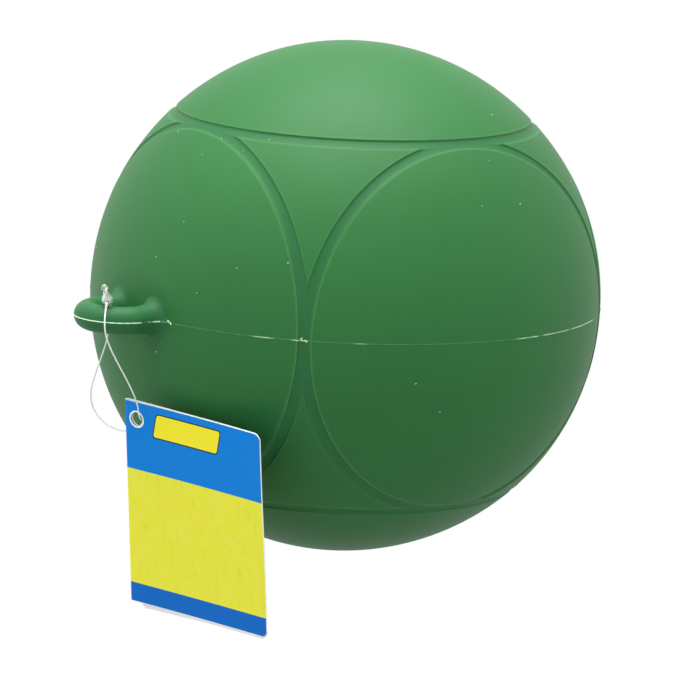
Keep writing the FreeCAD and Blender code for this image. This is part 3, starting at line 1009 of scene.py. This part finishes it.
# %% Sizes of the card
CARD_WIDTH, CARD_HEIGHT, CARD_THICKNESS = 0.0750, 0.0950, 0.0004
CARD_CORNER = 0.0036
FOLD_GAP, LEAF_NIP = 0.0010, 0.0008
BACK_LEAF_DROP, BACK_LEAF_TRIM = 0.0022, 0.0005
HOLE_RADIUS, HOLE_FROM_FOLD, HOLE_FROM_TOP = 0.0033, 0.0065, 0.0076
PUNCH_FROM_TOP = 0.0081
HOLE_FROM_LOOP = Vector((0.0110, 0.0044, -0.0440))
CARD_YAW, CARD_PITCH, CARD_ROLL = (math.radians(a) for a in (18, 9.8, 2.9))
fold_radius = FOLD_GAP / 2 + CARD_THICKNESS / 2
fold_half = fold_radius * math.pi / 2
leaf_length = CARD_WIDTH - FOLD_GAP / 2 - CARD_THICKNESS + fold_half
hole_across = HOLE_FROM_FOLD - FOLD_GAP / 2 - CARD_THICKNESS + fold_half
print("flat strip:", round(leaf_length * 2000, 1), "by", round(CARD_HEIGHT * 1000, 1), "mm")

# %% The flat strip
def strip_lines():
    """Where the strip's columns and rows run: close together at the fold and near the corners."""
    bend = np.linspace(-1, 1, 17) * fold_half
    leaf = np.concatenate([np.linspace(fold_half, leaf_length - CARD_CORNER, 36)[1:],
                           leaf_length - CARD_CORNER * (1 - np.sin(np.linspace(0, math.pi / 2, 9)[1:]))])
    columns = np.concatenate([-leaf[::-1], bend, leaf])
    corner = CARD_CORNER * (1 - np.cos(np.linspace(0, math.pi / 2, 9)))
    rows = np.concatenate([-corner, np.linspace(-CARD_CORNER, CARD_CORNER - CARD_HEIGHT, 46)[1:-1],
                           -CARD_HEIGHT + corner[::-1]])
    return columns, rows


def flat_strip():
    """The strip lying flat: across it, down it, and through its thickness."""
    columns, rows = strip_lines()
    across, down = np.meshgrid(columns, rows)
    from_edge = np.minimum(-down, CARD_HEIGHT + down)
    half_chord = np.sqrt(np.maximum(0, CARD_CORNER ** 2 - (CARD_CORNER - from_edge) ** 2))
    inset = np.where(from_edge < CARD_CORNER, CARD_CORNER - half_chord, 0)
    share = np.clip((np.abs(across) - leaf_length + 2 * CARD_CORNER) / (2 * CARD_CORNER), 0, 1)
    across = across - np.sign(across) * inset * share
    flat = np.stack([across, down], -1).reshape(-1, 2)
    front = np.column_stack([flat, np.full(len(flat), CARD_THICKNESS / 2)])
    back = np.column_stack([flat, np.full(len(flat), -CARD_THICKNESS / 2)])
    high, wide = down.shape
    spot = np.arange(high * wide).reshape(high, wide)
    quads = np.stack([spot[:-1, :-1], spot[1:, :-1], spot[1:, 1:], spot[:-1, 1:]], -1).reshape(-1, 4)
    edge = np.concatenate([spot[:, 0], spot[-1, 1:], spot[-2::-1, -1], spot[0, -2:0:-1]])
    walls = [(a, a + len(flat), b + len(flat), b) for a, b in zip(edge, np.roll(edge, -1))]
    faces = [tuple(q) for q in quads] + [tuple(q[::-1] + len(flat)) for q in quads] + walls
    return np.concatenate([front, back]), faces

# %% Punch the holes
PUNCH_SIDES = 48
PUNCH_HALF_LENGTH = 0.002


def round_punch(x, y, radius):
    """A round bar that stands through the strip, to cut a hole with."""
    points = [(x + radius * ahead, y + radius * aside, z)
              for z in (-PUNCH_HALF_LENGTH, PUNCH_HALF_LENGTH) for ahead, aside in circle(PUNCH_SIDES)]
    ends = [tuple(range(PUNCH_SIDES))[::-1], tuple(range(PUNCH_SIDES, 2 * PUNCH_SIDES))]
    return new_object("punch", new_mesh("punch", points, ends + ring_walls(2, PUNCH_SIDES)))


strip = new_object("strip", new_mesh("strip", *flat_strip()))
for side in (-1, 1):
    punch = round_punch(side * hole_across, -PUNCH_FROM_TOP, HOLE_RADIUS)
    cut = strip.modifiers.new("hole", "BOOLEAN")
    cut.operation = "DIFFERENCE"
    cut.solver = "EXACT"
    cut.object = punch
    bpy.context.view_layer.update()
    cut_mesh = bpy.data.meshes.new_from_object(strip.evaluated_get(bpy.context.evaluated_depsgraph_get()))
    strip.modifiers.clear()
    strip.data = cut_mesh
    bpy.data.objects.remove(punch)
flat_points = np.array([v.co for v in strip.data.vertices])
strip_faces = [tuple(face.vertices) for face in strip.data.polygons]
printed_face = [face.normal.z > 0.7 for face in strip.data.polygons]
bpy.data.objects.remove(strip)
print("strip:", len(flat_points), "points, printed faces", sum(printed_face))

# %% [markdown]
# Card never folds to a dead flat sheet: the fold stays round, each leaf keeps a slight bow, and the back
# leaf, which was folded a little askew, hangs lower beside the fold and stops just short of the front
# one's edge. The free upper corner curls forward.

# %% Fold the strip
CARD_BOW, CARD_CURL = 0.0005, 0.0020


def folded(flat):
    """Wraps the flat strip round the fold and sets it where the tag hangs."""
    across, down, thick = flat[:, 0], flat[:, 1], flat[:, 2]
    beyond = np.maximum(np.abs(across) - fold_half, 0)
    turn = np.clip(across / fold_radius, -math.pi / 2, math.pi / 2)
    radius = fold_radius + thick
    behind = across < 0
    reach = beyond / leaf_length
    curl = CARD_CURL * reach ** 2 * smooth_step(down / CARD_HEIGHT, -0.9, 0.0)
    arch = np.sin(reach * math.pi) * 0.7 + (down / CARD_HEIGHT + 0.5) ** 2 * 1.2 - 0.2
    bow = CARD_BOW * arch * np.minimum(reach * 6, 1)
    nip = np.where(behind, LEAF_NIP * smooth_step(reach, 0.0, 0.5), 0)
    depth = bow - curl - nip - radius * np.sin(turn)
    skew = smooth_step(beyond, 0.0036, 0.0060) * (1.35 - 0.75 * np.minimum(reach / 0.55, 1))
    down = down + np.where(behind, BACK_LEAF_DROP * skew * down / CARD_HEIGHT, 0)
    beyond = beyond - np.where(behind, BACK_LEAF_TRIM * reach, 0)
    x = beyond - radius * np.cos(turn) - HOLE_FROM_FOLD + fold_radius + CARD_THICKNESS / 2
    local = np.stack([x, depth + fold_radius + CARD_THICKNESS / 2, down + HOLE_FROM_TOP], 1)
    yaw, pitch, roll = (Matrix.Rotation(CARD_YAW, 3, "Z"), Matrix.Rotation(CARD_PITCH, 3, "X"),
                        Matrix.Rotation(CARD_ROLL, 3, "Y"))
    return local @ np.array(yaw @ pitch @ roll).T + np.array(LOOP_CENTRE + HOLE_FROM_LOOP)


tag_points = folded(flat_points)
print("tag spans", np.round((tag_points.max(0) - tag_points.min(0)) * 1000, 1), "mm")

# %% [markdown]
# ## The print
#
# The printed side is blue at the top and the foot, and yellow between, with a blank yellow panel in the
# blue. Each point carries its place on the flat strip, in centimetres, so each band is one comparison: a
# number below or above an edge. The same bands run on round the fold to the back leaf. The ink is thin
# and even, the board under it shows through as a fine tooth, and along every cut edge a hair of bare
# white board is left.

# %% Inks
BLUE_INK = (0.002, 0.190, 0.615, 1)
FOOT_BLUE = (0.003, 0.128, 0.495, 1)
YELLOW_INK = (0.720, 0.710, 0.045, 1)
SHADED_YELLOW = (0.570, 0.575, 0.040, 1)
PALE_YELLOW = (0.755, 0.735, 0.105, 1)
PANEL_YELLOW = (0.800, 0.720, 0.028, 1)
BLACK_INK = (0.012, 0.012, 0.012, 1)
WHITE_BOARD = (0.88, 0.89, 0.88, 1)
DULL_BOARD = (0.66, 0.68, 0.67, 1)
print("blue ink:", BLUE_INK[:3], "yellow ink:", YELLOW_INK[:3])

# %% [markdown]
# The panel is a box with round corners. How far a point lies outside the smaller box between the corners'
# centres is a length, and where that length passes the corner's radius the panel ends. The panel leans,
# so it is drawn in a leaning measure across the card.

# %% Printed side
# all in centimetres on the flat strip: from its fold, and down from its top
CENTIMETRES = 100
BLUE_ENDS, FOOT_BEGINS = -3.17, -8.58
PANEL_MIDDLE, PANEL_LEAN = (3.41, -0.915), 0.21
PANEL_HALF_SIZES, PANEL_CORNER = (1.745, 0.53), 0.12
RULE_HALF_SIZES, RULE_CORNER = (1.80, 0.585), 0.16
BARE_EDGE, BARE_TOP, BARE_RIM = 0.024, 0.010, 0.062
INK_SOFTNESS, CUT_SOFTNESS = 0.02, 0.012


def inside_plate(finish, across, down, half_sizes, corner):
    """1 inside a box with round corners round the panel's middle, and 0 outside."""
    from_middle = finish.node("ShaderNodeCombineXYZ", None, {
        0: across - PANEL_MIDDLE[0], 1: down - PANEL_MIDDLE[1]})
    straight = (half_sizes[0] - corner, half_sizes[1] - corner, 0.0)
    beyond = finish.vectors("SUBTRACT", finish.vectors("ABSOLUTE", from_middle), straight)
    outside = finish.vectors("LENGTH", finish.vectors("MAXIMUM", beyond, (0.0, 0.0, 0.0)))
    return 1 - outside.above(corner, INK_SOFTNESS)


def bare_edges(finish, side, down):
    """1 along the cut edges and round the hole, where a hair of white board is left."""
    to_hole = finish.node("ShaderNodeCombineXYZ", None, {
        0: side - hole_across * CENTIMETRES, 1: down + PUNCH_FROM_TOP * CENTIMETRES})
    hole_rim = 1 - finish.vectors("LENGTH", to_hole).above(HOLE_RADIUS * CENTIMETRES + BARE_RIM, CUT_SOFTNESS)
    free_side = side.above(leaf_length * CENTIMETRES - BARE_EDGE, CUT_SOFTNESS)
    top = down.above(-BARE_TOP, 0.008)
    foot = 1 - down.above(BARE_EDGE - CARD_HEIGHT * CENTIMETRES, CUT_SOFTNESS)
    return hole_rim.larger(free_side).larger(top).larger(foot)


def printed_card():
    finish = new_finish("printed_card")
    spot = finish.attribute("strip_place", output="Vector")
    across = finish.node("ShaderNodeSeparateXYZ", None, {0: spot}, output="X")
    down = finish.node("ShaderNodeSeparateXYZ", None, {0: spot}, output="Y")
    side = finish.node("ShaderNodeMath", {"operation": "ABSOLUTE"}, {0: across})
    leaning = side - (down - PANEL_MIDDLE[1]) * PANEL_LEAN
    fine = finish.noise(spot, scale=45.0, detail=3.0, roughness=0.6)
    cloud = finish.noise(spot, scale=1.1, detail=4.0, roughness=0.65)
    stretched = finish.vectors("MULTIPLY", spot, (3.2, 1.1, 1.0))
    reeds = finish.noise(stretched, scale=1.0, detail=6.0, roughness=0.75)
    colour = finish.mix_colour(cloud.above(0.55, 0.3) * 0.35, YELLOW_INK, PALE_YELLOW)
    colour = finish.mix_colour(reeds.above(0.60, 0.16) * 0.45, colour, SHADED_YELLOW)
    colour = finish.mix_colour(down.above(BLUE_ENDS, INK_SOFTNESS), colour, BLUE_INK)
    colour = finish.mix_colour(1 - down.above(FOOT_BEGINS, INK_SOFTNESS), colour, FOOT_BLUE)
    rule = inside_plate(finish, leaning, down, RULE_HALF_SIZES, RULE_CORNER)
    colour = finish.mix_colour(rule, colour, BLACK_INK)
    panel = inside_plate(finish, leaning, down, PANEL_HALF_SIZES, PANEL_CORNER)
    colour = finish.mix_colour(panel, colour, PANEL_YELLOW)
    colour = finish.mix_colour(bare_edges(finish, side, down), colour, WHITE_BOARD)
    rough = 0.42 + fine * 0.14
    relief = finish.bump(fine, 0.00004, 0.35)
    return finish.surface(Base_Color=colour, Roughness=rough, Normal=relief, IOR=1.5, Specular_IOR_Level=0.10)


printed_finish = printed_card()
print("finish:", printed_finish.name)

# %% Bare side
def bare_board():
    finish = new_finish("bare_board")
    spot = finish.attribute("strip_place", output="Vector")
    fibres = finish.vectors("MULTIPLY", spot, (30.0, 8.0, 30.0))
    tooth = finish.noise(fibres, scale=1.0, detail=3.0, roughness=0.6)
    colour = finish.mix_colour(tooth, DULL_BOARD, WHITE_BOARD)
    return finish.surface(Base_Color=colour, Roughness=0.7 + tooth * 0.15,
                          Normal=finish.bump(tooth, 0.00003, 0.5), IOR=1.45)


board_finish = bare_board()
print("finish:", board_finish.name)

# %% [markdown]
# The card gets both finishes: the print on the faces that were up on the flat strip, and bare board on
# the rest. An edge between the two is sharp, and everything else is smooth.

# %% Build the card
card = new_piece("folded_card", tag_points, strip_faces, printed_finish, "tag")
card.data.materials.append(board_finish)
finishes_at = {}
for face, printed in zip(card.data.polygons, printed_face):
    face.material_index = 0 if printed else 1
    face.use_smooth = True
    for edge in face.edge_keys:
        finishes_at.setdefault(edge, set()).add(face.material_index)
sharp = card.data.attributes.new("sharp_edge", "BOOLEAN", "EDGE")
sharp.data.foreach_set("value", [len(finishes_at[edge.key]) > 1 for edge in card.data.edges])
place = card.data.attributes.new("strip_place", "FLOAT_VECTOR", "POINT")
place.data.foreach_set("vector", (flat_points * CENTIMETRES).astype(np.float32).reshape(-1))
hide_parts("hang_tag")

# %% [markdown]
# ## The strand and its ends
#
# The strand, the bulb and the tip all ride on the fastener's body, so the bulb and the tip travel
# with the strand.

# %% [markdown]
# ## Floor
#
# A buoy floats, so the floor lies well below it. The floor is a plain
# matt grey that catches the buoy's shadow. To the camera, through the nylon, and far off in a reflection
# it is plain white, and that white adds no light to the buoy.

# %% Floor
FLOOR_DROP = 0.13
FLOOR_HALF_WIDTH = 6
FLOOR_GREY = (0.34, 0.34, 0.34, 1)
WHITE = (1, 1, 1, 1)


def floor_finish():
    """White to the camera and through clear pieces, and far off to glossy rays; otherwise a matt grey."""
    finish = new_finish("floor")
    camera_ray = finish.node("ShaderNodeLightPath", output="Is Camera Ray")
    glossy_ray = finish.node("ShaderNodeLightPath", output="Is Glossy Ray")
    transmission_ray = finish.node("ShaderNodeLightPath", output="Is Transmission Ray")
    far_off = finish.vectors("LENGTH", finish.place()).above(0.90, 0.80)
    seen = camera_ray.larger(transmission_ray).larger(glossy_ray * far_off)
    matt = finish.node("ShaderNodeBsdfDiffuse", None, {"Color": FLOOR_GREY})
    white = finish.node("ShaderNodeEmission", None, {"Color": WHITE, "Strength": 1.0})
    both = finish.node("ShaderNodeMixShader", None, {0: seen, 1: matt, 2: white})
    finish.node("ShaderNodeOutputMaterial", None, {"Surface": both})
    return finish.owner


floor_level = solid_box[0].z - FLOOR_DROP
floor_corners = [(x * FLOOR_HALF_WIDTH, y * FLOOR_HALF_WIDTH, floor_level)
                 for x, y in ((-1, -1), (1, -1), (1, 1), (-1, 1))]
floor = new_object("floor", new_mesh("floor", floor_corners, [(0, 1, 2, 3)]))
floor.data.materials.append(floor_finish())
print("floor lies", round(-floor_level, 3), "m below the waterline")

# %% [markdown]
# ## Light
#
# Soft light comes from all round, as in a white tent. It is stronger from the wall behind the buoy and
# from the two sides, which lights the ball's rim, and a broad lamp above adds the pale patch on top. The
# walls are plain white to the camera, to reflections and through the nylon.

# %% World and lamp
PLAIN_LIGHT = 0.65
BACKDROP_LIGHT = 1.17
LEFT_LIGHT = 1.08
RIGHT_LIGHT = 0.67
WALL_EDGE, WALL_SOFTNESS = 0.35, 0.50


def world_light():
    """Light from all round, stronger from three walls, and plain white wherever it is seen."""
    world = bpy.data.worlds.new("studio")
    bpy.context.scene.world = world
    finish = Finish(world)
    way = finish.node("ShaderNodeTexCoord", output="Generated")

    def wall(x, y, z):
        """1 where a direction points at the wall that lies this way, with a soft edge."""
        return finish.vectors("DOT_PRODUCT", way, (x, y, z)).above(WALL_EDGE, WALL_SOFTNESS)

    camera_ray = finish.node("ShaderNodeLightPath", output="Is Camera Ray")
    glossy_ray = finish.node("ShaderNodeLightPath", output="Is Glossy Ray")
    transmission_ray = finish.node("ShaderNodeLightPath", output="Is Transmission Ray")
    seen = camera_ray.larger(glossy_ray).larger(transmission_ray)
    light = (PLAIN_LIGHT + wall(-0.80, 0.59, 0.0) * BACKDROP_LIGHT
             + wall(-0.59, -0.80, 0.0) * LEFT_LIGHT + wall(0.59, 0.80, 0.0) * RIGHT_LIGHT)
    strength = seen * (1 - light) + light
    sky = finish.node("ShaderNodeBackground", None, {"Color": WHITE, "Strength": strength})
    finish.node("ShaderNodeOutputWorld", None, {"Surface": sky})


def softbox(name, place, target, width, height, power):
    """A broad rectangular lamp that points at its target."""
    data = bpy.data.lights.new(name, "AREA")
    data.shape = "RECTANGLE"
    data.size = width
    data.size_y = height
    data.energy = power
    lamp = new_object(name, data)
    lamp.location = place
    lamp.rotation_euler = (Vector(target) - Vector(place)).to_track_quat("-Z", "Y").to_euler()
    return lamp


world_light()
top_light = softbox("top_light", (0.0, -0.1, 1.3), (0, 0, 0), width=1.2, height=1.2, power=28)
bpy.context.scene.view_settings.view_transform = "Standard"
print("lamp:", top_light.name, top_light.data.energy, "W")

# %% [markdown]
# ## Last update
#
# The scene is brought up to date once more.

# %% Update the scene
bpy.context.view_layer.update()
